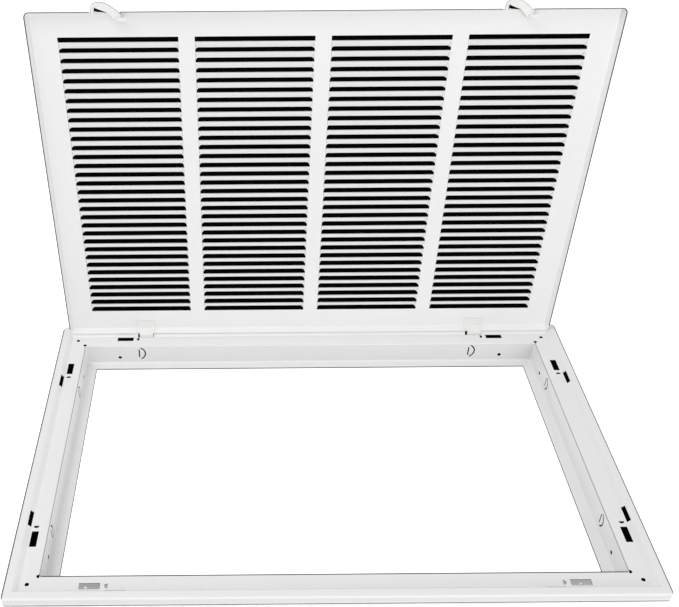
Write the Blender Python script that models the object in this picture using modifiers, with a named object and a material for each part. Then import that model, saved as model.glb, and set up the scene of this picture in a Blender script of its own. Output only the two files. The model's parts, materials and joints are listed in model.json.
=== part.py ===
"""Return air filter grille: a folded steel frame and a louvered door that hinges on its far side.

Metres, +Z up. The frame lies on its neck, centred on the origin. Every piece of the door is drawn
as it lies when the door is shut, and then hangs on an empty on the hinge axis that turns it open.
"""
import math

import bmesh
import bpy
from mathutils import Matrix, Vector

# Sheet and fits
SHEET = 0.0008  # thickness of every folded sheet
CLEARANCE = 0.0003  # gap between pieces that rest on or slide along each other
ARC_STEPS = 3  # facets in a fold

# Frame, sizes over the outside of the sheet
FRAME_LENGTH = 0.702
FRAME_WIDTH = 0.473
SKIRT_HEIGHT = 0.012
RIDGE_WIDTH = 0.010
SLOPE_RUN = 0.0055
LEDGE_DROP = 0.0056
LEDGE_WIDTH = 0.020
NECK_DEPTH = 0.0375
LIP_WIDTH = 0.0142
FRAME_CORNER = 0.004  # plan radius at the skirt
INNER_CORNER = 0.0015  # smallest plan radius, at the neck
FOLD_RADIUS = 0.0015
CORNER_STEPS = 4

# Door, sizes over the outside of the sheet
RIM_INSET = 0.011  # the rim's edge lies this far in from the frame's edge
RIM_DEPTH = 0.009
RIM_FLARE = 0.004  # the rim leans out by this much
RIM_SEAT = 0.0005  # the rim's edge sits this far below the ridge when shut
DOOR_CORNER = 0.0025  # plan radius of the face
FACE_MARGIN = 0.0299  # plain band between the face's edge and the louvers

# Louvers
COLUMNS = 4
COLUMN_GAP = 0.019
LOUVERS = 31  # blades in a column, one fewer than its gaps
GAP_HEIGHT = 0.0034
FIRST_GAP_EXTRA = 0.0022  # the gap at the free edge is this much higher
BLADE_DEPTH = 0.0062  # how far a blade's free edge stands out
KNEE_RUN = 0.002
KNEE_DEPTH = 0.0007
TAIL = 0.0012  # end of a blade that rises steeply
SHOULDER = 0.0035  # end of a blade that rises at all
TAIL_RISE = 0.75  # share of the depth reached at the tail

# Piercings of the flange, the same at both ends of all four sides
SLOT_LENGTH = 0.022
LEDGE_SLOT_WIDTH = 0.0075
LEDGE_SLOT_INSET = 0.0207
CATCH_SLOT_OUT = 0.011  # from the frame's edge to the slot's outer side
CATCH_SLOT_IN = 0.0147  # and to its inner side
HINGE_SLOT_IN = 0.01635  # the same on the hinge side, where the tongues turn
LEDGE_SLOT_FROM_FOLD = 0.0547  # slot centre from the neck's corner, along the side
CATCH_SLOT_FROM_FOLD = 0.083
NOTCH_FROM_FOLD = 0.0738  # to the flat side of the half-round notch
NOTCH_RADIUS = 0.003
SHORT_SIDE_SHIFT = 0.004  # everything sits this much nearer the corners on the short sides
SCREW_HOLE_RADIUS = 0.0022
SCREW_HOLE_INSET = 0.0235
RELIEF_RADIUS = 0.0022
RELIEF_OUT = 0.0013  # from the neck's faces

# Piercings of the neck
NECK_HOLE_RADIUS = 0.0023
NECK_HOLE_FROM_FOLD = 0.0465
NECK_HOLE_DROP = 0.0265  # below the ridge
TAB_FROM_FOLD = 0.0828  # to the far point of the arc
TAB_DROP = 0.0195
TAB_ARC_RADIUS = 0.0105
TAB_ARC_SWEEP = math.radians(130)
TAB_WIDTH = 0.0085  # from the straight cut to the far point of the arc
TAB_CUT = 0.0015
TAB_STRAIGHT = 0.013

# Hinge clips
CLIP_PLATE = 0.012  # length on the face of the door
CLIP_WIDTH = 0.026
TONGUE_LENGTH = 0.0072
TONGUE_WIDTH = 0.019
TONGUE_OFFSET = 0.0012  # to the right of the slot's middle
TONGUE_DROP = 0.0027  # centre of the tongue below the ridge when shut

# Turning latches
PIN_INSET = 0.008  # pin to the rim's edge
PIN_RADIUS = 0.0015
PIN_HEAD_RADIUS = 0.003
PIN_HEAD_HEIGHT = 0.0012
HUB_RADIUS = 0.0025
LEVER_SHEET = 0.001
LEVER_OUTLINE = (  # from the pin: along the rim, and out over the rim's edge
    (-0.0012, 0.0084), (0.0038, 0.0020), (0.0042, -0.0020), (0.0020, -0.0042), (-0.0025, -0.0042),
    (-0.0060, -0.0010), (-0.0130, 0.0064), (-0.0268, 0.0118), (-0.0276, 0.0056), (-0.0312, 0.0056),
    (-0.0315, 0.0095), (-0.0303, 0.0146), (-0.0275, 0.0174), (-0.0230, 0.0184), (-0.0170, 0.0180),
    (-0.0110, 0.0156), (-0.0055, 0.0119))
LUG_LENGTH = 0.0095
LUG_RADIUS = 0.0023  # half its width, and its round end
LUG_SHEET = 0.0008
LUG_DROP = 0.0031  # top of the lug below the ridge when shut
RIM_GAP_LEFT = 0.0335  # the gap that the lever swings through, from the pin
RIM_GAP_RIGHT = 0.002

# Worked out from the sizes above
RIDGE_Z = NECK_DEPTH
FLANGE = RIDGE_WIDTH + SLOPE_RUN + LEDGE_WIDTH  # frame's edge to the inside of the neck
NECK_HALF_LENGTH = FRAME_LENGTH / 2 - FLANGE
NECK_HALF_WIDTH = FRAME_WIDTH / 2 - FLANGE
RIM_HALF_LENGTH = FRAME_LENGTH / 2 - RIM_INSET
RIM_HALF_WIDTH = FRAME_WIDTH / 2 - RIM_INSET
FACE_HALF_LENGTH = RIM_HALF_LENGTH - RIM_FLARE
FACE_HALF_WIDTH = RIM_HALF_WIDTH - RIM_FLARE
FACE_Z = RIDGE_Z - RIM_SEAT + RIM_DEPTH
LOUVER_FIELD = 2 * (FACE_HALF_WIDTH - FACE_MARGIN)
LOUVER_PITCH = (LOUVER_FIELD - GAP_HEIGHT) / LOUVERS
COLUMN_LENGTH = (2 * (FACE_HALF_LENGTH - FACE_MARGIN) - (COLUMNS - 1) * COLUMN_GAP) / COLUMNS
CATCH_SLOT_X = NECK_HALF_LENGTH - CATCH_SLOT_FROM_FOLD
PIN_Y = PIN_INSET - RIM_HALF_WIDTH

# The hinge axis: the tongue turns about it from under the ridge to straight down through the slot
TONGUE_OPEN_Y = FRAME_WIDTH / 2 - HINGE_SLOT_IN + SHEET / 2 + CLEARANCE
AXIS_DIFFERENCE = TONGUE_OPEN_Y + TONGUE_DROP  # axis y minus its height above the ridge
RIM_OPEN_Y = AXIS_DIFFERENCE - RIM_SEAT
RIM_OPEN_RISE = CLEARANCE * 1.5 - (FRAME_WIDTH / 2 - RIDGE_WIDTH - RIM_OPEN_Y) * RIM_FLARE / RIM_DEPTH
AXIS_SUM = RIM_OPEN_RISE + RIM_HALF_WIDTH
HINGE_Y = (AXIS_SUM + AXIS_DIFFERENCE) / 2
HINGE_Z = RIDGE_Z + (AXIS_SUM - AXIS_DIFFERENCE) / 2

WHITE = (0.80, 0.80, 0.79)


def collection_named(name):
    made = bpy.data.collections.new(name)
    bpy.context.scene.collection.children.link(made)
    return made


def paint(name, colour, roughness):
    """A Principled material."""
    made = bpy.data.materials.new(name)
    made.use_nodes = True
    shader = made.node_tree.nodes["Principled BSDF"]
    shader.inputs["Base Color"].default_value = (*colour, 1.0)
    shader.inputs["Roughness"].default_value = roughness
    return made


def object_from(bm, name, collection, material=None, flat_angle=30):
    """Turns a bmesh into an object, shaded smooth across small angles."""
    mesh = bpy.data.meshes.new(name)
    bm.to_mesh(mesh)
    bm.free()
    mesh.shade_smooth()
    mesh.set_sharp_from_angle(angle=math.radians(flat_angle))
    made = bpy.data.objects.new(name, mesh)
    collection.objects.link(made)
    if material:
        mesh.materials.append(material)
    return made


def solidify(piece, thickness):
    """Gives an open sheet its thickness, away from its visible side."""
    modifier = piece.modifiers.new("Sheet", "SOLIDIFY")
    modifier.thickness = thickness
    modifier.offset = -1
    modifier.use_even_offset = True
    return modifier


def cut(piece, cutter):
    modifier = piece.modifiers.new("Pierce", "BOOLEAN")
    modifier.operation = "DIFFERENCE"
    modifier.solver = "EXACT"
    modifier.object = cutter


def folded(corners, radius, steps=ARC_STEPS):
    """The line through the corners, with each inner corner rounded to an arc."""
    line = [Vector(corners[0])]
    for before, corner, after in zip(corners, corners[1:], corners[2:]):
        corner = Vector(corner)
        to_before = (Vector(before) - corner).normalized()
        to_after = (Vector(after) - corner).normalized()
        half = to_before.angle(to_after) / 2
        centre = corner + (to_before + to_after).normalized() * radius / math.sin(half)
        start = corner + to_before * radius / math.tan(half) - centre
        end = corner + to_after * radius / math.tan(half) - centre
        sweep = start.angle_signed(end)
        for step in range(steps + 1):
            turn = Matrix.Rotation(-sweep * step / steps, 2)
            line.append(centre + turn @ start)
    line.append(Vector(corners[-1]))
    return line


def rounded_rectangle(half_x, half_y, radius, steps=CORNER_STEPS):
    """Plan points of a rectangle with round corners, anticlockwise."""
    points = []
    for quarter, (sign_x, sign_y) in enumerate(((1, 1), (-1, 1), (-1, -1), (1, -1))):
        for step in range(steps + 1):
            angle = math.pi / 2 * (quarter + step / steps)
            points.append((
                sign_x * (half_x - radius) + radius * math.cos(angle),
                sign_y * (half_y - radius) + radius * math.sin(angle),
            ))
    return points


def add_box(bm, low, high):
    """A box between two corners."""
    low, high = Vector(low), Vector(high)
    centre = Matrix.Translation((low + high) / 2)
    bmesh.ops.create_cube(bm, size=1.0, matrix=centre @ Matrix.Diagonal((*(high - low), 1.0)))


def add_plate(bm, outline, low_z, thickness):
    """A flat plate of the outline's shape."""
    face = bm.faces.new([bm.verts.new((x, y, low_z)) for x, y in outline])
    raised = bmesh.ops.extrude_face_region(bm, geom=[face])["geom"]
    verts = [item for item in raised if isinstance(item, bmesh.types.BMVert)]
    bmesh.ops.translate(bm, verts=verts, vec=(0, 0, thickness))


def half_round(x, y, radius, bulge, facets=8):
    """Plan points of half a disc that bulges to +X or -X from its flat side at x."""
    points = []
    for step in range(facets + 1):
        angle = math.pi * (step / facets - 0.5)
        points.append((x + bulge * radius * math.cos(angle), y + radius * math.sin(angle)))
    return points


def add_cylinder(bm, centre, radius, height, axis="Z", facets=16):
    turn = {"Z": Matrix(), "X": Matrix.Rotation(math.pi / 2, 4, "Y"),
            "Y": Matrix.Rotation(math.pi / 2, 4, "X")}[axis]
    bmesh.ops.create_cone(
        bm, cap_ends=True, segments=facets, radius1=radius, radius2=radius, depth=height,
        matrix=Matrix.Translation(centre) @ turn)


def add_arc_cut(bm, to_side, radius, width, height, sweep, steps=8):
    """A curved slot through a wall that faces -Y, bulging to +X, placed by to_side."""
    before = set(bm.verts)
    turned = Matrix.Rotation(-sweep / 2, 4, "Y")
    corners = [Vector((radius + x, y, 0)) for x in (-width / 2, width / 2) for y in (-height, height)]
    corners = [corners[i] for i in (0, 1, 3, 2)]
    face = bm.faces.new([bm.verts.new(turned @ corner) for corner in corners])
    bmesh.ops.spin(bm, geom=[face, *face.edges, *face.verts], cent=(0, 0, 0), axis=(0, 1, 0),
                   angle=sweep, steps=steps)
    made = [vert for vert in bm.verts if vert not in before]
    bmesh.ops.transform(bm, matrix=to_side, verts=made)


def each_side():
    """Matrices that take a shape drawn for the far side (+Y) to all four sides, with each side's sizes.

    A side's own x runs along it, and its own y is the distance from the middle of the frame.
    """
    for quarter in range(4):
        across = quarter % 2 == 0
        half_along = NECK_HALF_LENGTH if across else NECK_HALF_WIDTH + SHORT_SIDE_SHIFT
        half_out = FRAME_WIDTH / 2 if across else FRAME_LENGTH / 2
        catch_in = HINGE_SLOT_IN if quarter == 0 else CATCH_SLOT_IN
        yield Matrix.Rotation(math.pi / 2 * quarter, 4, "Z"), half_along, half_out, catch_in


def extrude_ring(bm, ring, carried):
    """Extrudes a ring of edges. Each new vertex carries the value of the one that it came from."""
    made = bmesh.ops.extrude_edge_only(bm, edges=ring)["geom"]
    passed_on = {}
    for vert in (item for item in made if isinstance(item, bmesh.types.BMVert)):
        sources = (edge.other_vert(vert) for edge in vert.link_edges)
        passed_on[vert] = next(carried[source] for source in sources if source in carried)
    return [item for item in made if isinstance(item, bmesh.types.BMEdge)], passed_on


def face_up(bm):
    """Turns the faces of an open sheet so that its top side is the visible one."""
    bmesh.ops.recalc_face_normals(bm, faces=bm.faces)
    bm.normal_update()
    if max(bm.faces, key=lambda face: face.calc_area() * abs(face.normal.z)).normal.z < 0:
        bmesh.ops.reverse_faces(bm, faces=bm.faces)


def make_frame(parts, cutters):
    """The frame is one sheet: skirt, ridge, slope, ledge, neck and lip, swept round a rectangle."""
    profile = folded([
        (0.0, -SKIRT_HEIGHT),
        (0.0, 0.0),
        (RIDGE_WIDTH, 0.0),
        (RIDGE_WIDTH + SLOPE_RUN, -LEDGE_DROP),
        (FLANGE, -LEDGE_DROP),
        (FLANGE, SHEET - NECK_DEPTH),
        (FLANGE + LIP_WIDTH, SHEET - NECK_DEPTH),
    ], FOLD_RADIUS)
    bm = bmesh.new()
    ring = None
    for inset, height in profile:
        outline = rounded_rectangle(
            FRAME_LENGTH / 2 - inset, FRAME_WIDTH / 2 - inset, max(FRAME_CORNER - inset, INNER_CORNER))
        if ring:
            ring, carried = extrude_ring(bm, ring, carried)
        else:
            verts = [bm.verts.new((x, y, 0)) for x, y in outline]
            ring = [bm.edges.new((a, b)) for a, b in zip(verts, verts[1:] + verts[:1])]
            carried = {vert: index for index, vert in enumerate(verts)}
        for vert, index in carried.items():
            vert.co = (*outline[index], RIDGE_Z + height)
    face_up(bm)
    frame = object_from(bm, "frame", parts, paint("White enamel, frame", WHITE, 0.35))
    solidify(frame, SHEET)
    cut(frame, frame_piercings(cutters))
    return frame


def frame_piercings(cutters):
    """Every hole in the frame, as one group of closed cutters."""
    bm = bmesh.new()
    deep = 0.008
    ledge_z = RIDGE_Z - LEDGE_DROP
    for turn, half_along, half_out, catch_in in each_side():
        before = set(bm.verts)
        for end in (-1, 1):
            slot_x = end * (half_along - LEDGE_SLOT_FROM_FOLD)
            slot_y = half_out - LEDGE_SLOT_INSET
            half = Vector((SLOT_LENGTH / 2, LEDGE_SLOT_WIDTH / 2, deep / 2))
            middle = Vector((slot_x, slot_y, ledge_z))
            add_box(bm, middle - half, middle + half)
            notch_x = end * (half_along - NOTCH_FROM_FOLD)
            add_plate(bm, half_round(notch_x, slot_y, NOTCH_RADIUS, end), ledge_z - deep / 2, deep)
            catch_x = end * (half_along - CATCH_SLOT_FROM_FOLD)
            add_box(bm, (catch_x - SLOT_LENGTH / 2, half_out - catch_in, ledge_z - 0.003),
                    (catch_x + SLOT_LENGTH / 2, half_out - CATCH_SLOT_OUT, RIDGE_Z + 0.001))
            wall_y = half_out - FLANGE
            hole_x = end * (half_along - NECK_HOLE_FROM_FOLD)
            add_cylinder(bm, (hole_x, wall_y, RIDGE_Z - NECK_HOLE_DROP), NECK_HOLE_RADIUS, deep, "Y", 12)
            tab = Vector((end * (half_along - TAB_FROM_FOLD), wall_y, RIDGE_Z - TAB_DROP))
            arc_centre = tab - Vector((TAB_ARC_RADIUS, 0, 0))
            add_arc_cut(bm, Matrix.Translation(arc_centre), TAB_ARC_RADIUS, TAB_CUT, deep / 2, TAB_ARC_SWEEP)
            straight = Vector((TAB_CUT / 2, deep / 2, TAB_STRAIGHT / 2))
            left = tab - Vector((TAB_WIDTH, 0, 0))
            add_box(bm, left - straight, left + straight)
        made = [vert for vert in bm.verts if vert not in before]
        bmesh.ops.transform(bm, matrix=turn, verts=made)
    for sign_x in (-1, 1):
        for sign_y in (-1, 1):
            hole = (sign_x * (FRAME_LENGTH / 2 - SCREW_HOLE_INSET),
                    sign_y * (FRAME_WIDTH / 2 - SCREW_HOLE_INSET), ledge_z)
            add_cylinder(bm, hole, SCREW_HOLE_RADIUS, deep)
            relief = (sign_x * (NECK_HALF_LENGTH + RELIEF_OUT), sign_y * (NECK_HALF_WIDTH + RELIEF_OUT),
                      ledge_z)
            add_cylinder(bm, relief, RELIEF_RADIUS, deep, facets=12)
    bmesh.ops.recalc_face_normals(bm, faces=bm.faces)
    return hidden(object_from(bm, "frame_piercings", cutters))


def hidden(cutter):
    cutter.hide_render = True
    cutter.display_type = "WIRE"
    return cutter


def louver_rows():
    """Lines across a column from the free edge to the hinge edge, each with its kind."""
    rows = []
    first = -FACE_HALF_WIDTH + FACE_MARGIN
    for gap in range(LOUVERS + 1):
        start = first + gap * LOUVER_PITCH
        rows.append((start, "free") if gap else (start - FIRST_GAP_EXTRA, "plate"))
        if gap == LOUVERS:
            rows.append((start + GAP_HEIGHT, "plate"))
        else:
            rows.append((start + GAP_HEIGHT, "root"))
            rows.append((start + GAP_HEIGHT + KNEE_RUN, "knee"))
    return rows


def louver_stations():
    """Lines down the door: for each column its ends, tails and shoulders, each with its rise."""
    stations = []
    for column in range(COLUMNS):
        left = -FACE_HALF_LENGTH + FACE_MARGIN + column * (COLUMN_LENGTH + COLUMN_GAP)
        right = left + COLUMN_LENGTH
        stations += [(left, 0.0), (left + TAIL, TAIL_RISE), (left + SHOULDER, 1.0)]
        stations += [(right - SHOULDER, 1.0), (right - TAIL, TAIL_RISE), (right, 0.0)]
    return stations


def make_door_panel(parts, cutters):
    """The door is one sheet: a grid whose lines are the cuts, with the blades pressed out."""
    rim_profile = folded([(-RIM_FLARE, 0.0), (0.0, 0.0), (RIM_FLARE, -RIM_DEPTH)], FOLD_RADIUS)
    flat_end = rim_profile[1].x
    half_x = FACE_HALF_LENGTH + flat_end
    half_y = FACE_HALF_WIDTH + flat_end
    rows = [(-half_y, "plate"), *louver_rows(), (half_y, "plate")]
    stations = [(-half_x, 0.0), *louver_stations(), (half_x, 0.0)]
    standing = {"plate": 0.0, "root": 0.0, "knee": KNEE_DEPTH, "free": BLADE_DEPTH}

    bm = bmesh.new()
    bmesh.ops.create_grid(bm, x_segments=len(stations) - 1, y_segments=len(rows) - 1, size=0.5)
    place = {}
    for vert in bm.verts:
        i = round((vert.co.x + 0.5) * (len(stations) - 1))
        j = round((vert.co.y + 0.5) * (len(rows) - 1))
        x, rise = stations[i]
        y, kind = rows[j]
        vert.co = (x, y, FACE_Z + rise * standing[kind])
        place[vert] = (i, j)

    gaps = []
    for face in bm.faces:
        i = min(place[vert][0] for vert in face.verts)
        j = min(place[vert][1] for vert in face.verts)
        in_column = 1 <= i <= len(stations) - 3 and (i - 1) % 6 != 5
        in_gap = rows[j][1] in ("plate", "free") and rows[j + 1][1] in ("root", "plate")
        if in_column and in_gap and 1 <= j <= len(rows) - 3:
            gaps.append(face)
    bmesh.ops.delete(bm, geom=gaps, context="FACES_ONLY")
    loose = [edge for edge in bm.edges if not edge.link_faces]
    bmesh.ops.delete(bm, geom=loose, context="EDGES")

    corner_radius = DOOR_CORNER + flat_end
    corners = [vert for vert in bm.verts if len(vert.link_faces) == 1
               and abs(abs(vert.co.x) - half_x) < 1e-6 and abs(abs(vert.co.y) - half_y) < 1e-6]
    bmesh.ops.bevel(bm, geom=corners, offset=corner_radius, segments=CORNER_STEPS, profile=0.5,
                    affect="VERTICES")
    core_x, core_y = half_x - corner_radius, half_y - corner_radius

    def on_outline(vert):
        return (abs(vert.co.z - FACE_Z) < 1e-6
                and (abs(vert.co.x) > core_x - 1e-6 or abs(vert.co.y) > core_y - 1e-6))

    outline = [edge for edge in bm.edges if edge.is_boundary and all(map(on_outline, edge.verts))]
    outward = {}
    for vert in {vert for edge in outline for vert in edge.verts}:
        core = Vector((max(-core_x, min(core_x, vert.co.x)), max(-core_y, min(core_y, vert.co.y)), FACE_Z))
        outward[vert] = (vert.co - core).normalized()
    ring = outline
    for before, after in zip(rim_profile[1:], rim_profile[2:]):
        step = after - before
        ring, outward = extrude_ring(bm, ring, outward)
        for vert, direction in outward.items():
            vert.co += direction * step.x + Vector((0, 0, step.y))
    bmesh.ops.dissolve_limit(bm, angle_limit=math.radians(0.2), verts=bm.verts, edges=bm.edges)
    face_up(bm)
    door = object_from(bm, "door_panel", parts, paint("White enamel, door", WHITE, 0.35))
    solidify(door, SHEET)
    cut(door, door_piercings(cutters))
    return door


def door_piercings(cutters):
    """For each latch, the gap in the rim that its lever swings through and the hole for its pin."""
    bm = bmesh.new()
    gap_top = RIDGE_Z + LEVER_SHEET + 2 * CLEARANCE
    for pin_x in (-CATCH_SLOT_X, CATCH_SLOT_X):
        add_box(bm, (pin_x - RIM_GAP_LEFT, -RIM_HALF_WIDTH - 0.001, RIDGE_Z - RIM_SEAT - 0.001),
                (pin_x + RIM_GAP_RIGHT, -RIM_HALF_WIDTH + 0.003, gap_top))
        add_cylinder(bm, (pin_x, PIN_Y, FACE_Z), PIN_RADIUS + CLEARANCE, 0.004)
    return hidden(object_from(bm, "door_piercings", cutters))


def make_hinge_clip(name, centre_x, parts, material):
    """A strip bent to the inside of the face and rim, whose narrow tongue turns out under the ridge."""
    lean = Vector((RIM_FLARE, -RIM_DEPTH)).normalized()
    inside = Vector((lean.y, -lean.x)) * (SHEET * 1.5 + CLEARANCE)
    on_rim = Vector((RIM_HALF_WIDTH, RIDGE_Z - RIM_SEAT)) + inside
    plate_z = FACE_Z - SHEET * 1.5 - CLEARANCE
    waist_z = RIDGE_Z + CLEARANCE
    tongue_z = RIDGE_Z - TONGUE_DROP
    bend, waist, root = (on_rim + lean * (z - on_rim.y) / lean.y for z in (plate_z, waist_z, tongue_z))
    line = folded([(bend.x - CLIP_PLATE, plate_z), bend, root, (root.x + TONGUE_LENGTH, tongue_z)],
                  SHEET, 2)
    line.insert(next(i for i, point in enumerate(line) if point.y < waist_z), waist)

    tongue_left = centre_x + TONGUE_OFFSET - TONGUE_WIDTH / 2
    tongue_right = tongue_left + TONGUE_WIDTH
    stations = (centre_x - CLIP_WIDTH / 2, tongue_left, tongue_right, centre_x + CLIP_WIDTH / 2)
    bm = bmesh.new()
    verts = [bm.verts.new((stations[0], y, z)) for y, z in line]
    edges = [bm.edges.new(pair) for pair in zip(verts, verts[1:])]
    for before, after in zip(stations, stations[1:]):
        made = bmesh.ops.extrude_edge_only(bm, edges=edges)["geom"]
        edges = [item for item in made if isinstance(item, bmesh.types.BMEdge)]
        moved = [item for item in made if isinstance(item, bmesh.types.BMVert)]
        bmesh.ops.translate(bm, verts=moved, vec=(after - before, 0, 0))
    shoulders = []
    for face in bm.faces:
        middle = face.calc_center_median()
        if middle.z < waist_z and not tongue_left < middle.x < tongue_right:
            shoulders.append(face)
    bmesh.ops.delete(bm, geom=shoulders, context="FACES")
    clip = object_from(bm, name, parts, material)
    solidify(clip, SHEET).offset = 0
    return clip


def make_latch(name, pin_x, parts, material):
    """A lever and a lug on one turned hub, with the origin on the pin at the ridge's height."""
    bm = bmesh.new()
    add_plate(bm, [(x, -out) for x, out in LEVER_OUTLINE], CLEARANCE, LEVER_SHEET)
    bmesh.ops.recalc_face_normals(bm, faces=bm.faces)
    latch = object_from(bm, name, parts, material)

    lug_low = -LUG_DROP - LUG_SHEET
    bm = bmesh.new()
    round_end = half_round(LUG_LENGTH - LUG_RADIUS, 0, LUG_RADIUS, 1)
    add_plate(bm, [*round_end, (0, LUG_RADIUS), (0, -LUG_RADIUS)], lug_low, LUG_SHEET)
    bmesh.ops.recalc_face_normals(bm, faces=bm.faces)
    lug = object_from(bm, name + "_lug", parts)

    face_top = FACE_Z - RIDGE_Z
    hub_top = face_top - SHEET - CLEARANCE
    head_low = face_top + CLEARANCE
    profile = (
        (0, lug_low), (HUB_RADIUS, lug_low), (HUB_RADIUS, hub_top), (PIN_RADIUS, hub_top),
        (PIN_RADIUS, head_low), (PIN_HEAD_RADIUS, head_low),
        (PIN_HEAD_RADIUS, head_low + PIN_HEAD_HEIGHT / 2),
        (PIN_HEAD_RADIUS * 0.7, head_low + PIN_HEAD_HEIGHT), (0, head_low + PIN_HEAD_HEIGHT))
    bm = bmesh.new()
    verts = [bm.verts.new((radius, 0, z)) for radius, z in profile]
    edges = [bm.edges.new(pair) for pair in zip(verts, verts[1:])]
    bmesh.ops.spin(bm, geom=[*verts, *edges], cent=(0, 0, 0), axis=(0, 0, 1), angle=math.tau, steps=16)
    bmesh.ops.remove_doubles(bm, verts=bm.verts, dist=0.00001)
    bmesh.ops.recalc_face_normals(bm, faces=bm.faces)
    hub = object_from(bm, name + "_hub", parts)

    for tool in (hub, lug):
        join(latch, tool)
    latch.location = (pin_x, PIN_Y, RIDGE_Z)
    return latch


def join(piece, tool):
    """Makes the tool one body with the piece, and removes it."""
    modifier = piece.modifiers.new("Join", "BOOLEAN")
    modifier.operation = "UNION"
    modifier.solver = "EXACT"
    modifier.object = tool
    bake(piece)
    bpy.data.objects.remove(tool)


def bake(piece):
    """Replaces a piece's mesh by its evaluated one."""
    depsgraph = bpy.context.evaluated_depsgraph_get()
    mesh = bpy.data.meshes.new_from_object(piece.evaluated_get(depsgraph), depsgraph=depsgraph)
    piece.modifiers.clear()
    piece.data = mesh


def hang(pieces, axis_point):
    """Hangs shut pieces on an empty on the hinge axis, and turns the empty so that the door stands open."""
    axis = bpy.data.objects.new("door_hinge_axis", None)
    bpy.context.scene.collection.objects.link(axis)
    axis.location = axis_point
    axis.rotation_euler = (-math.pi / 2, 0, 0)
    for piece in pieces:
        piece.parent = axis
        piece.location -= Vector(axis_point)


def main():
    for item in list(bpy.data.objects):
        bpy.data.objects.remove(item)
    parts = collection_named("Return air filter grille")
    cutters = collection_named("Cutters")
    make_frame(parts, cutters)
    door = make_door_panel(parts, cutters)
    clip_paint = paint("White enamel, clips", WHITE, 0.4)
    latch_paint = paint("White enamel, latches", WHITE, 0.4)
    clips = [make_hinge_clip(f"hinge_clip_{word}", side * CATCH_SLOT_X, parts, clip_paint)
             for word, side in (("left", -1), ("right", 1))]
    latches = [make_latch(f"latch_{word}", side * CATCH_SLOT_X, parts, latch_paint)
               for word, side in (("left", -1), ("right", 1))]
    hang([door, *clips, *latches, bpy.data.objects["door_piercings"]], (0, HINGE_Y, HINGE_Z))
    print(f"hinge axis y {HINGE_Y:.5f} z {HINGE_Z:.5f}, louver pitch {LOUVER_PITCH:.5f}")


main()
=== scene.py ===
# %% [markdown]
# # A return air filter grille in white enamel
# The grille is two sheets of steel. One is folded into a frame that sits in the duct opening,
# and the other is lanced into rows of louvers and hangs on the frame as a door. The shapes come
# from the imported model. This script gives them their enamel, their soft edges, a floor, light
# and a camera.

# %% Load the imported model
import json
import math

import bmesh
import bpy
from mathutils import Matrix, Vector

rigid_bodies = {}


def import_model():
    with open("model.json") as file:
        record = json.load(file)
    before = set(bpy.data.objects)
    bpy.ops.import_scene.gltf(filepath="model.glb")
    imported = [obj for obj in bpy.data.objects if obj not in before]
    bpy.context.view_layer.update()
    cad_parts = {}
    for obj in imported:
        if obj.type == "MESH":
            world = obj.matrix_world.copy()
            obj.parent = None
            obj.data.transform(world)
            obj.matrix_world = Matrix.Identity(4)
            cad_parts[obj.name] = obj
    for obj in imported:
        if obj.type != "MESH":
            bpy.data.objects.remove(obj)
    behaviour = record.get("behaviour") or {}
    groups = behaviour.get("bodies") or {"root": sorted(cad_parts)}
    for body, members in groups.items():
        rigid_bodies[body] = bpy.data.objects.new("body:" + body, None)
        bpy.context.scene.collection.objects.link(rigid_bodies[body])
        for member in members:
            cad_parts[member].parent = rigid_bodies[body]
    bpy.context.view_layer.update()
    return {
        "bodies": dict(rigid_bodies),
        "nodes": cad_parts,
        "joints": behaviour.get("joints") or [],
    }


for startup_object in list(bpy.data.objects):
    bpy.data.objects.remove(startup_object)

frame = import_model()
pieces = frame["nodes"]
print("pieces:", ", ".join(sorted(pieces)))

# %% [markdown]
# ## Building a finish
# Every finish here is a small node tree, so it needs no pictures and stays sharp close up. Three
# helpers keep the trees short: one starts a material, one adds a noise and one spreads an amount
# over a range of values.


# %% Helpers for node materials
def start_finish(name):
    """A new material with its nodes, its links and its shader."""
    finish = bpy.data.materials.new(name)
    finish.use_nodes = True
    nodes, links = finish.node_tree.nodes, finish.node_tree.links
    return finish, nodes, links, nodes["Principled BSDF"]


def noise_of(nodes, links, coordinates, scale, detail):
    noise = nodes.new("ShaderNodeTexNoise")
    noise.inputs["Scale"].default_value = scale
    noise.inputs["Detail"].default_value = detail
    links.new(coordinates, noise.inputs["Vector"])
    return noise.outputs["Fac"]


def between(nodes, links, amount, low, high):
    """Spreads a 0 to 1 amount over a range of values."""
    spread = nodes.new("ShaderNodeMapRange")
    spread.inputs["To Min"].default_value = low
    spread.inputs["To Max"].default_value = high
    links.new(amount, spread.inputs["Value"])
    return spread.outputs["Result"]


# %% [markdown]
# On the outer folds and on the cut edges of the sheet a fine near black line of painted shade
# sets a white grille off from a white floor. A mask picks out those places, and the other places
# with painted shade and painted light. Each of them is a box in the object's own coordinates,
# with its x taken from the middle to both sides.


# %% Masks for places on an object
def combined(nodes, links, operation, first, second):
    """Two amounts through one math node, or the second alone when there is no first."""
    if first is None:
        return second
    maths = nodes.new("ShaderNodeMath")
    maths.operation = operation
    links.new(first, maths.inputs[0])
    links.new(second, maths.inputs[1])
    return maths.outputs[0]


def inside_box(nodes, links, parts, box):
    """1 where all three coordinates lie inside the box, otherwise 0."""
    found = None
    for part, (low, high) in zip(parts, box):
        within = nodes.new("ShaderNodeMath")
        within.operation = "COMPARE"
        within.inputs[1].default_value = (low + high) / 2
        within.inputs[2].default_value = (high - low) / 2
        links.new(part, within.inputs[0])
        found = combined(nodes, links, "MULTIPLY", found, within.outputs[0])
    return found


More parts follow.
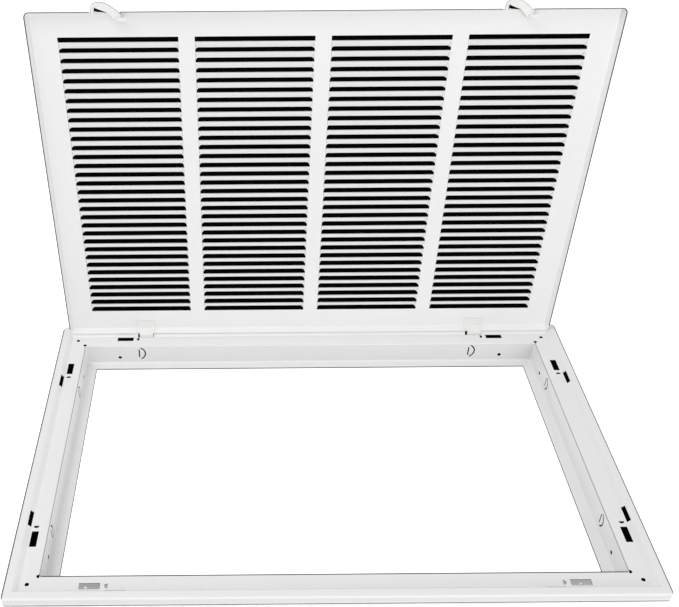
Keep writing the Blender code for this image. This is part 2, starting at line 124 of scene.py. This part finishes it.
def in_any_box(nodes, links, where, boxes):
    """1 inside any of the boxes, otherwise 0."""
    split = nodes.new("ShaderNodeSeparateXYZ")
    links.new(where, split.inputs[0])
    sideways = nodes.new("ShaderNodeMath")
    sideways.operation = "ABSOLUTE"
    links.new(split.outputs["X"], sideways.inputs[0])
    parts = (sideways.outputs[0], split.outputs["Y"], split.outputs["Z"])
    found = None
    for box in boxes:
        found = combined(nodes, links, "MAXIMUM", found, inside_box(nodes, links, parts, box))
    return found


def mixed(nodes, links, amount, first, second):
    """The first colour where the amount is 0 and the second where it is 1."""
    blend = nodes.new("ShaderNodeMix")
    blend.data_type = "RGBA"
    links.new(amount, blend.inputs["Factor"])
    for name, colour in (("A", first), ("B", second)):
        if isinstance(colour, bpy.types.NodeSocket):
            links.new(colour, blend.inputs[name])
        else:
            blend.inputs[name].default_value = (*colour, 1.0)
    return blend.outputs["Result"]


# %% [markdown]
# ## The enamel
# The steel is coated with a white baked enamel. It isn't perfectly even: the coat is a shade
# darker in some places than in others, and close up it has the fine ripple that is called
# orange peel. Both come from noise in the object's own coordinates, so they stay in place on
# the sheet when the door turns. The slow noise shifts the colour by a few percent, a quicker one
# varies the gloss, and the fine one only feeds a bump.

# %% The white enamel
# Painted shade: near black for lines along folds, cut edges and holes, and for the bevels.
PAINTED_SHADE_BLACK = (0.03, 0.03, 0.03)
# Painted shade: mid grey for the outside of the neck and the folds at its sides.
PAINTED_HALF_SHADE = (0.48, 0.48, 0.48)
# Painted shade: light grey for the far wall of the neck, the near skirt and a few stretches of
# bevel.
PAINTED_SOFT_SHADE = (0.71, 0.71, 0.71)
# Painted light: a brighter white that lifts the blades of the door.
PAINTED_LIGHT_WHITE = (0.89, 0.89, 0.885)
SLOW, GLOSS_PATCHES, ORANGE_PEEL = 6.0, 40.0, 900.0
SMOOTHER, ROUGHER = 0.05, 0.06
PEEL_STRENGTH, PEEL_DEPTH = 0.06, 0.0003


def white_enamel(name, colour, shade, roughness, places):
    """Baked enamel varying at random from shade to colour, with painted shade and light in boxes.
    """
    finish, nodes, links, shader = start_finish(name)
    where = nodes.new("ShaderNodeTexCoord").outputs["Object"]
    enamel_and_painted_light = mixed(nodes, links, noise_of(nodes, links, where, SLOW, 3.0), shade, colour)
    # Painted shade and painted light replace the enamel colour inside the boxes.
    for tone, boxes in places:
        enamel_and_painted_light = mixed(nodes, links, in_any_box(nodes, links, where, boxes), enamel_and_painted_light, tone)
    links.new(enamel_and_painted_light, shader.inputs["Base Color"])
    patches = noise_of(nodes, links, where, GLOSS_PATCHES, 2.0)
    gloss = between(nodes, links, patches, roughness - SMOOTHER, roughness + ROUGHER)
    links.new(gloss, shader.inputs["Roughness"])
    peel = nodes.new("ShaderNodeBump")
    peel.inputs["Strength"].default_value = PEEL_STRENGTH
    peel.inputs["Distance"].default_value = PEEL_DEPTH
    links.new(noise_of(nodes, links, where, ORANGE_PEEL, 2.0), peel.inputs["Height"])
    links.new(peel.outputs["Normal"], shader.inputs["Normal"])
    return finish


# %% [markdown]
# ## The folds of the frame
# From its edge inward the frame is a skirt, a raised ridge, a slope, a flat ledge, the neck that
# goes down into the duct, and a lip that turns inward to carry a filter. These sizes of the
# folded sheet place the masks and the backings further on. Lengths are in metres, and x and y
# are counted from the middle.

# %% Sizes of the folded sheet
HALF_LENGTH, HALF_WIDTH, RIDGE = 0.351, 0.2365, 0.0375
SHEET, LEDGE_DROP, FLANGE, LIP = 0.0008, 0.0056, 0.0355, 0.0142
LEDGE = RIDGE - LEDGE_DROP
NECK_X, NECK_Y = HALF_LENGTH - FLANGE, HALF_WIDTH - FLANGE
LIP_X, LIP_Y = NECK_X - LIP, NECK_Y - LIP
print("opening inside the lip:", round(2 * LIP_X, 4), "by", round(2 * LIP_Y, 4))

# %% [markdown]
# ## Where painted shade and painted light lie
# The boxes follow the shape. On the frame, painted shade draws near black lines along the outer
# folds, on the lower edge of the near skirt, where the near ledge turns down into the neck, and
# along the edge of the lip. The folds at the sides of the neck, and the outside of the neck,
# which faces the duct, get a mid grey painted shade. The far wall of the neck and the near skirt
# get a light grey painted shade. The cut boxes lie inside the thickness of the sheet, so they
# only reach the cut edges of its holes, and paint them near black.

# %% Ranges that the boxes share
EVERY = (-1.0, 1.0)
PAST = 0.001  # how far a box reaches past the surface
GRAZE = 0.0001  # how far a box stays clear of a face, or takes it in
wall_outside = (SHEET - GRAZE, 0.0012)
wall_inside = (GRAZE, SHEET - GRAZE)
wall_height = (0.002, LEDGE - 0.001)
cut_height = (0.003, 0.029)
at_ledge = (LEDGE - PAST, LEDGE + PAST)
at_lip = (-PAST, 0.002)
in_sheet = (LEDGE - SHEET + GRAZE, LEDGE - GRAZE)
along_x, along_y = (0.0, NECK_X), (-NECK_Y, NECK_Y)


def out_from(face, reach):
    """The range of a reach that is counted outward from a face."""
    return (face + reach[0], face + reach[1])


def mirrored(span):
    """The same range on the other side of the middle."""
    return (-span[1], -span[0])


print("cut edges of the ledge between", round(in_sheet[0], 4), "and", round(in_sheet[1], 4))

# %% Places on the frame
# Near black painted shade along folds and edges of the frame.
frame_painted_dark_lines = [
    # the folds at the ends, the far fold and the lower edge of the near skirt
    ((HALF_LENGTH - 0.0018, HALF_LENGTH + PAST), EVERY, (RIDGE - 0.0012, RIDGE + PAST)),
    (EVERY, (HALF_WIDTH - 0.0020, HALF_WIDTH + PAST), (RIDGE - 0.0012, RIDGE + PAST)),
    (EVERY, (-HALF_WIDTH - PAST, -HALF_WIDTH + PAST), (RIDGE - 0.013, RIDGE - 0.0105)),
    # where the near ledge turns down into the neck
    (along_x, (-NECK_Y - 0.0022, -NECK_Y + GRAZE), at_ledge),
    # the edge of the lip at the ends and at the far side
    (out_from(LIP_X, (-0.0002, 0.0007)), (-LIP_Y, LIP_Y), at_lip),
    ((0.0, LIP_X), out_from(LIP_Y, (-0.0002, 0.0010)), at_lip),
]
# Mid grey painted shade on the neck.
frame_painted_half_shade = [
    # the folds at the sides of the neck, then its near wall, far wall and sides from outside
    (out_from(NECK_X, (-GRAZE, 0.0012)), along_y, at_ledge),
    (along_x, mirrored(out_from(NECK_Y, wall_outside)), wall_height),
    (along_x, out_from(NECK_Y, wall_outside), wall_height),
    (out_from(NECK_X, wall_outside), along_y, wall_height),
]
# Light grey painted shade on the far wall of the neck and the near skirt.
frame_painted_soft_shade = [
    # the far wall of the neck and the near skirt
    (along_x, (NECK_Y - 0.0003, NECK_Y + 0.0003), (0.003, LEDGE - 0.002)),
    (EVERY, (-HALF_WIDTH - PAST, -HALF_WIDTH + 0.0003), (RIDGE - 0.0090, RIDGE - 0.0022)),
]
# Near black painted shade in the cut edges of the holes.
frame_cuts = [
    # the slots and notches of the ledge at the ends, at the near side and at the far side
    ((0.3175, 0.3350), (-0.230, 0.230), in_sheet),
    ((0.0, 0.345), (-0.2205, -0.2030), in_sheet),
    ((0.0, 0.345), (0.2030, 0.2205), in_sheet),
    # the holes and tabs in the neck, at the sides and in the far wall
    (out_from(NECK_X, wall_inside), along_y, cut_height),
    (along_x, out_from(NECK_Y, wall_inside), cut_height),
]
print("places on the frame:", len(frame_painted_dark_lines + frame_painted_half_shade + frame_painted_soft_shade + frame_cuts))

# %% [markdown]
# The door stands open here, so its height runs along z. Painted shade draws a near black line
# round its rim and in the cut edge of each latch lever above it. Painted light makes the blades
# whiter than the rest of the door. Every cut edge gets a narrow bevel with near black painted
# shade further on, and a last list says which stretches of it get a light grey painted shade
# instead: the edge beside the hinge, the root of each lever in front of the door, and the slots
# that the latches catch in.

# %% Places on the door and the latches
# Near black painted shade round the rim of the door and on the cut edge of each latch lever.
door_rim_painted_dark_line = [(EVERY, (0.2220, 0.2238), (0.045, 1.0))]
# Painted light that makes the blades whiter.
blade_painted_light = [((0.0, 0.310), (0.2322, 0.2450), (0.060, 0.460))]
latch_edge_painted_dark_line = [(EVERY, (0.22395, 0.22475), (0.486, 1.0))]
# Light grey painted shade in place of the near black bevel on these stretches.
edges_with_soft_painted_shade = [
    (EVERY, (0.2215, 0.2242), (0.0350, 0.0450)),  # edge beside the hinge
    ((0.195, 0.270), (0.2195, 0.2275), (0.470, 0.4860)),  # roots of the levers
    ((0.215, 0.250), (-0.2275, -0.2200), (0.0310, 0.0380)),  # slots that the latches catch in
]
print("places on the door and latches:", len(door_rim_painted_dark_line + blade_painted_light + latch_edge_painted_dark_line + edges_with_soft_painted_shade))

# %% [markdown]
# The frame and the door share one enamel, because they are sprayed in the same booth, and each
# carries its own painted shade; the door's blades also carry painted light. The clips and latches
# are small bent parts with a slightly duller coat, and the latch levers carry painted shade on
# their cut edge. The fourth finish is the near black painted shade of the cut edges.

# %% The four finishes
SHEET_WHITE, SHEET_SHADE, SHEET_ROUGHNESS = (0.82, 0.82, 0.815), (0.79, 0.79, 0.788), 0.38
SMALL_WHITE, SMALL_SHADE, SMALL_ROUGHNESS = (0.80, 0.80, 0.79), (0.76, 0.76, 0.75), 0.42
EDGE_SHADE, EDGE_ROUGHNESS = (0.02, 0.02, 0.02), 0.55

# Each enamel carries painted shade in its boxes, and the door's also painted light on the blades.
frame_enamel = white_enamel(
    "frame_enamel", SHEET_WHITE, SHEET_SHADE, SHEET_ROUGHNESS,
    [(PAINTED_SOFT_SHADE, frame_painted_soft_shade), (PAINTED_HALF_SHADE, frame_painted_half_shade), (PAINTED_SHADE_BLACK, frame_painted_dark_lines + frame_cuts)])
door_enamel = white_enamel(
    "door_enamel", SHEET_WHITE, SHEET_SHADE, SHEET_ROUGHNESS,
    [(PAINTED_LIGHT_WHITE, blade_painted_light), (PAINTED_SHADE_BLACK, door_rim_painted_dark_line)])
small_part_finish_with_painted_shade = white_enamel(
    "small_part_finish_with_painted_shade", SMALL_WHITE, SMALL_SHADE, SMALL_ROUGHNESS, [(PAINTED_SHADE_BLACK, latch_edge_painted_dark_line)])
# The bevel finish is near black painted shade, with light grey painted shade on the listed
# stretches.
painted_edge_shade = white_enamel(
    "painted_edge_shade", PAINTED_SHADE_BLACK, EDGE_SHADE, EDGE_ROUGHNESS, [(PAINTED_SOFT_SHADE, edges_with_soft_painted_shade)])
print("finishes:", frame_enamel.name, door_enamel.name, small_part_finish_with_painted_shade.name, painted_edge_shade.name)

# %% [markdown]
# ## Putting the finish on the pieces
# A narrow bevel rounds every cut edge of the sheet. The corners of neighbouring faces are joined
# first, because a bevel needs faces that share an edge, and a loaded model comes with its faces
# apart. The bevel carries near black painted shade, and it is widest on the latch levers. On the
# clips the bevel keeps their white enamel, without painted shade. Weighted normals then keep
# the large faces flat beside their round edges.

# %% Paint and soften the pieces
EDGE_ROUND, LEVER_ROUND = 0.00018, 0.00035
SAME_CORNER = 0.00001
SHARP_FROM = math.radians(50)
enamels = {"frame": frame_enamel, "door_panel": door_enamel}

for piece in pieces.values():
    piece.data.materials.clear()
    piece.data.materials.append(enamels.get(piece.name, small_part_finish_with_painted_shade))
    joining = piece.modifiers.new("Joined corners", "WELD")
    joining.merge_threshold = SAME_CORNER
    rounding = piece.modifiers.new("Rounded edge", "BEVEL")
    rounding.width = LEVER_ROUND if piece.name.startswith("latch") else EDGE_ROUND
    rounding.segments = 2
    rounding.limit_method = "ANGLE"
    rounding.angle_limit = SHARP_FROM
    rounding.use_clamp_overlap = False
    # All pieces but the clips get the near black painted shade on their bevel.
    if not piece.name.startswith("hinge_clip"):
        piece.data.materials.append(painted_edge_shade)
        rounding.material = 1
    flats = piece.modifiers.new("Flat faces", "WEIGHTED_NORMAL")
    flats.keep_sharp = True
    print("painted", piece.name)

# %% [markdown]
# ## The dark behind the openings
# In the photograph the small openings are black: the louver gaps, the slots and the screw holes.
# The grille itself has nothing dark in them, so the black comes from whatever lies behind. Here a
# narrow dark backing takes that place. It belongs to the stage, as a backdrop does, so it isn't
# part of the grille, and the exported model has open gaps. Only the camera sees it, and it throws
# no shade on the enamel. Its finish is a dusty black without any gloss.

# %% The backing's finish
BLACK, DUSTY_BLACK = (0.0005, 0.0005, 0.0005), (0.002, 0.002, 0.002)

backing_finish, nodes, links, shader = start_finish("dark_backing")
dust = noise_of(nodes, links, nodes.new("ShaderNodeTexCoord").outputs["Object"], 25.0, 2.0)
links.new(mixed(nodes, links, dust, BLACK, DUSTY_BLACK), shader.inputs["Base Color"])
shader.inputs["Roughness"].default_value = 0.9
shader.inputs["Specular IOR Level"].default_value = 0.0


def in_scene(name, data):
    """A new object with this data, linked into the scene."""
    made = bpy.data.objects.new(name, data)
    bpy.context.scene.collection.objects.link(made)
    return made


def backing_of(name, quads, body=None):
    """Dark sheets from lists of corners, seen by the camera alone."""
    bm = bmesh.new()
    for corners in quads:
        bm.faces.new([bm.verts.new(corner) for corner in corners])
    data = bpy.data.meshes.new(name)
    bm.to_mesh(data)
    bm.free()
    data.materials.append(backing_finish)
    made = in_scene(name, data)
    if body:
        made.parent = frame["bodies"][body]
    for ray in ("diffuse", "glossy", "transmission", "volume_scatter", "shadow"):
        setattr(made, "visible_" + ray, False)
    print(name, "sheets:", len(quads))


# %% [markdown]
# The backing of the louvers rides on the door. It runs from each blade's free edge back to the
# root of the next one, so on the shut door it hides behind the blades from the latch side, and
# from the hinge side it shows as dark bands between the blades. Its corners are worked out on the
# shut door, where the blades follow one another along y, and a turn about the hinge pin takes
# them to the open door. At its ends a blade slopes back into the sheet, and the backing follows
# that slope.

# %% Behind the louvers
RIM_INSET, RIM_FLARE, RIM_SEAT, RIM_DEPTH = 0.011, 0.004, 0.0005, 0.009
FACE_MARGIN = 0.0299
COLUMNS, COLUMN_GAP = 4, 0.019
BLADES, GAP_HEIGHT, FIRST_GAP_EXTRA, BLADE_DEPTH = 31, 0.0034, 0.0022, 0.0062
BLADE_ENDS = ((0.0, 0.0), (0.0012, 0.75), (0.0035, 1.0))  # run from the end, share of the depth
field_x = HALF_LENGTH - RIM_INSET - RIM_FLARE - FACE_MARGIN
field_y = HALF_WIDTH - RIM_INSET - RIM_FLARE - FACE_MARGIN
face_height = RIDGE - RIM_SEAT + RIM_DEPTH
behind = SHEET + GRAZE
column_length = (2 * field_x - (COLUMNS - 1) * COLUMN_GAP) / COLUMNS
pitch = (2 * field_y - GAP_HEIGHT) / BLADES

hinge = next(joint for joint in frame["joints"] if joint["name"] == "door_hinge")
pin = Vector(hinge["pos_m"])
quarter_open = Matrix.Rotation(-math.pi / 2, 4, "X")
opened = Matrix.Translation(pin) @ quarter_open @ Matrix.Translation(-pin)

gap_sheets = []
for column in range(COLUMNS):
    left = -field_x + column * (column_length + COLUMN_GAP)
    stations = [(left + run, rise) for run, rise in BLADE_ENDS]
    stations += [(left + column_length - run, rise) for run, rise in reversed(BLADE_ENDS)]
    for gap in range(BLADES + 1):
        root = -field_y + gap * pitch + GAP_HEIGHT
        free_edge = root - GAP_HEIGHT if gap else root - GAP_HEIGHT - FIRST_GAP_EXTRA
        depth = BLADE_DEPTH if gap else behind
        for (x0, rise0), (x1, rise1) in zip(stations, stations[1:]):
            corners = [(x0, free_edge, face_height - behind + rise0 * depth),
                       (x1, free_edge, face_height - behind + rise1 * depth),
                       (x1, root, face_height - behind / 2),
                       (x0, root, face_height - behind / 2)]
            gap_sheets.append([opened @ Vector(corner) for corner in corners])
backing_of("backing_louvers", gap_sheets, "door")

# %% [markdown]
# A latch lever is a hook of thin sheet, and its bend encloses a small wedge of dark next to the
# rim of the door. That backing rides on the latch, so it turns with it.

# %% Behind the latch levers
PIN_FROM_FOLD, PIN_INSET = 0.083, 0.008
WEDGE = ((-0.0273, 0.0078), (-0.0268, 0.0118), (-0.0130, 0.0064))  # from the pin, along and out
pin_x = NECK_X - PIN_FROM_FOLD
pin_out = HALF_WIDTH - RIM_INSET - PIN_INSET
lever_middle = RIDGE + 0.0008

for side, x in (("left", -pin_x), ("right", pin_x)):
    corners = [opened @ Vector((x + along, -pin_out - out, lever_middle)) for along, out in WEDGE]
    backing_of("backing_lever_" + side, [corners], "latch_" + side)

# %% [markdown]
# The holes of the frame's ledge and neck get theirs inside the thickness of the sheet, so that it
# only shows in the holes. The near side has none, because its slots show the back of the neck
# with its mid grey painted shade.

# %% In the frame's sheet
in_ledge = LEDGE - SHEET / 2
wall_low, wall_high = 0.002, 0.030
outer = Vector((HALF_LENGTH - 0.002, HALF_WIDTH - 0.002))
inner = Vector((NECK_X + SHEET / 2, NECK_Y + SHEET / 2))


def level_sheet(x0, y0, x1, y1):
    """Four corners at the height of the ledge."""
    return [(x0, y0, in_ledge), (x1, y0, in_ledge), (x1, y1, in_ledge), (x0, y1, in_ledge)]


def upright_sheet(x0, y0, x1, y1):
    """Four corners that stand over a line in the neck's wall."""
    return [(x0, y0, wall_low), (x1, y1, wall_low), (x1, y1, wall_high), (x0, y0, wall_high)]


frame_sheets = [level_sheet(-outer.x, inner.y, outer.x, outer.y)]
frame_sheets.append(upright_sheet(-inner.x, inner.y, inner.x, inner.y))
for sign in (-1, 1):
    frame_sheets.append(level_sheet(sign * inner.x, -outer.y, sign * outer.x, inner.y))
    frame_sheets.append(upright_sheet(sign * inner.x, -inner.y, sign * inner.x, inner.y))
backing_of("backing_frame", frame_sheets)

# %% [markdown]
# ## The floor
# A pale sheet of paper under the grille. It keeps the soft shadow of the frame. Its extra
# brightness is only for rays that show it as a background: those from the camera, and those that
# a glossy or clear surface sends on. The light that it throws on the grille stays plain.


# %% Floor
def background_rays(nodes, links):
    """1 for rays from the camera, from a gloss and through a clear surface, otherwise 0."""
    rays = nodes.new("ShaderNodeLightPath")
    found = None
    for kind in ("Is Camera Ray", "Is Glossy Ray", "Is Transmission Ray"):
        found = combined(nodes, links, "MAXIMUM", found, rays.outputs[kind])
    return found


FLOOR_REACH, FLOOR_DROP = 6.0, 0.0002
PAPER, PAPER_ROUGHNESS, PAPER_BRIGHTNESS = (0.86, 0.86, 0.86), (0.80, 0.82), 0.6

floor_finish, nodes, links, shader = start_finish("paper")
grain = noise_of(nodes, links, nodes.new("ShaderNodeTexCoord").outputs["Object"], 30.0, 4.0)
links.new(between(nodes, links, grain, *PAPER_ROUGHNESS), shader.inputs["Roughness"])
shader.inputs["Base Color"].default_value = (*PAPER, 1.0)
shader.inputs["Emission Color"].default_value = (1.0, 1.0, 1.0, 1.0)
brightness = between(nodes, links, background_rays(nodes, links), 0.0, PAPER_BRIGHTNESS)
links.new(brightness, shader.inputs["Emission Strength"])

floor_mesh = bmesh.new()
bmesh.ops.create_grid(floor_mesh, x_segments=1, y_segments=1, size=FLOOR_REACH)
floor_data = bpy.data.meshes.new("floor")
floor_mesh.to_mesh(floor_data)
floor_mesh.free()
floor_data.materials.append(floor_finish)
floor = in_scene("floor", floor_data)
floor.location.z = -FLOOR_DROP
print("floor width:", 2 * FLOOR_REACH)

# %% [markdown]
# ## Light
# Even studio light: the world is a soft white dome, a wide lamp above gives the top faces their
# tone, and one in front lights the inside of the open door. The lamps are kept low, because white
# enamel that clips loses its edges.

# %% World and lamps
DOME = 0.60

world = bpy.data.worlds.new("studio")
bpy.context.scene.world = world
world.use_nodes = True
nodes, links = world.node_tree.nodes, world.node_tree.links
sky = nodes["Background"]
sky.inputs["Color"].default_value = (1.0, 1.0, 1.0, 1.0)
links.new(between(nodes, links, background_rays(nodes, links), DOME, 1.0), sky.inputs["Strength"])


def soft_lamp(name, place, target, size, power):
    """A round lamp that faces its target."""
    data = bpy.data.lights.new(name, "AREA")
    data.shape = "DISK"
    data.size = size
    data.energy = power
    lamp = in_scene(name, data)
    lamp.location = place
    lamp.rotation_euler = (Vector(target) - Vector(place)).to_track_quat("-Z", "Y").to_euler()
    print(name, "power:", power)


soft_lamp("lamp_above", (-0.8, -0.4, 2.0), target=(0.0, 0.0, 0.1), size=1.6, power=16.5)
soft_lamp("lamp_front", (0.8, -2.3, 0.6), target=(0.0, 0.1, 0.2), size=1.3, power=19.5)

# %% [markdown]
# ## Camera
# The grille lies open on the floor and is seen from the front, a little from the left and from
# above. The place, the angles and the focal length were fitted to the corners of the frame and
# the door. The lens looks past the middle of the picture, as it does in a cropped photograph, and
# the two shifts say by how much.

# %% Camera
CAMERA_PLACE = (-0.0999, -0.8439, 0.7999 + RIDGE)
PITCH, YAW, ROLL = math.radians(38.799), math.radians(-0.039), math.radians(0.426)
PICTURE_WIDTH, PICTURE_HEIGHT = 679, 607  # pixels, as are the next three
FOCAL_LENGTH, LENS_MIDDLE_X, LENS_MIDDLE_Y = 938.02, 239.87, 363.99
SENSOR = 36.0

camera_data = bpy.data.cameras.new("camera")
camera = in_scene("camera", camera_data)
bpy.context.scene.camera = camera
camera.matrix_world = (
    Matrix.Translation(CAMERA_PLACE)
    @ Matrix.Rotation(YAW, 4, "Z")
    @ Matrix.Rotation(-PITCH, 4, "X")
    @ Matrix.Rotation(ROLL, 4, "Y")
    @ Matrix.Rotation(math.pi / 2, 4, "X")
)
camera_data.sensor_width = SENSOR
camera_data.lens = FOCAL_LENGTH / PICTURE_WIDTH * SENSOR
camera_data.shift_x = (PICTURE_WIDTH / 2 - LENS_MIDDLE_X) / PICTURE_WIDTH
camera_data.shift_y = (LENS_MIDDLE_Y - PICTURE_HEIGHT / 2) / PICTURE_WIDTH
camera_data.clip_end = 30.0
bpy.context.scene.view_settings.view_transform = "Standard"
print("lens in mm:", round(camera_data.lens, 2))
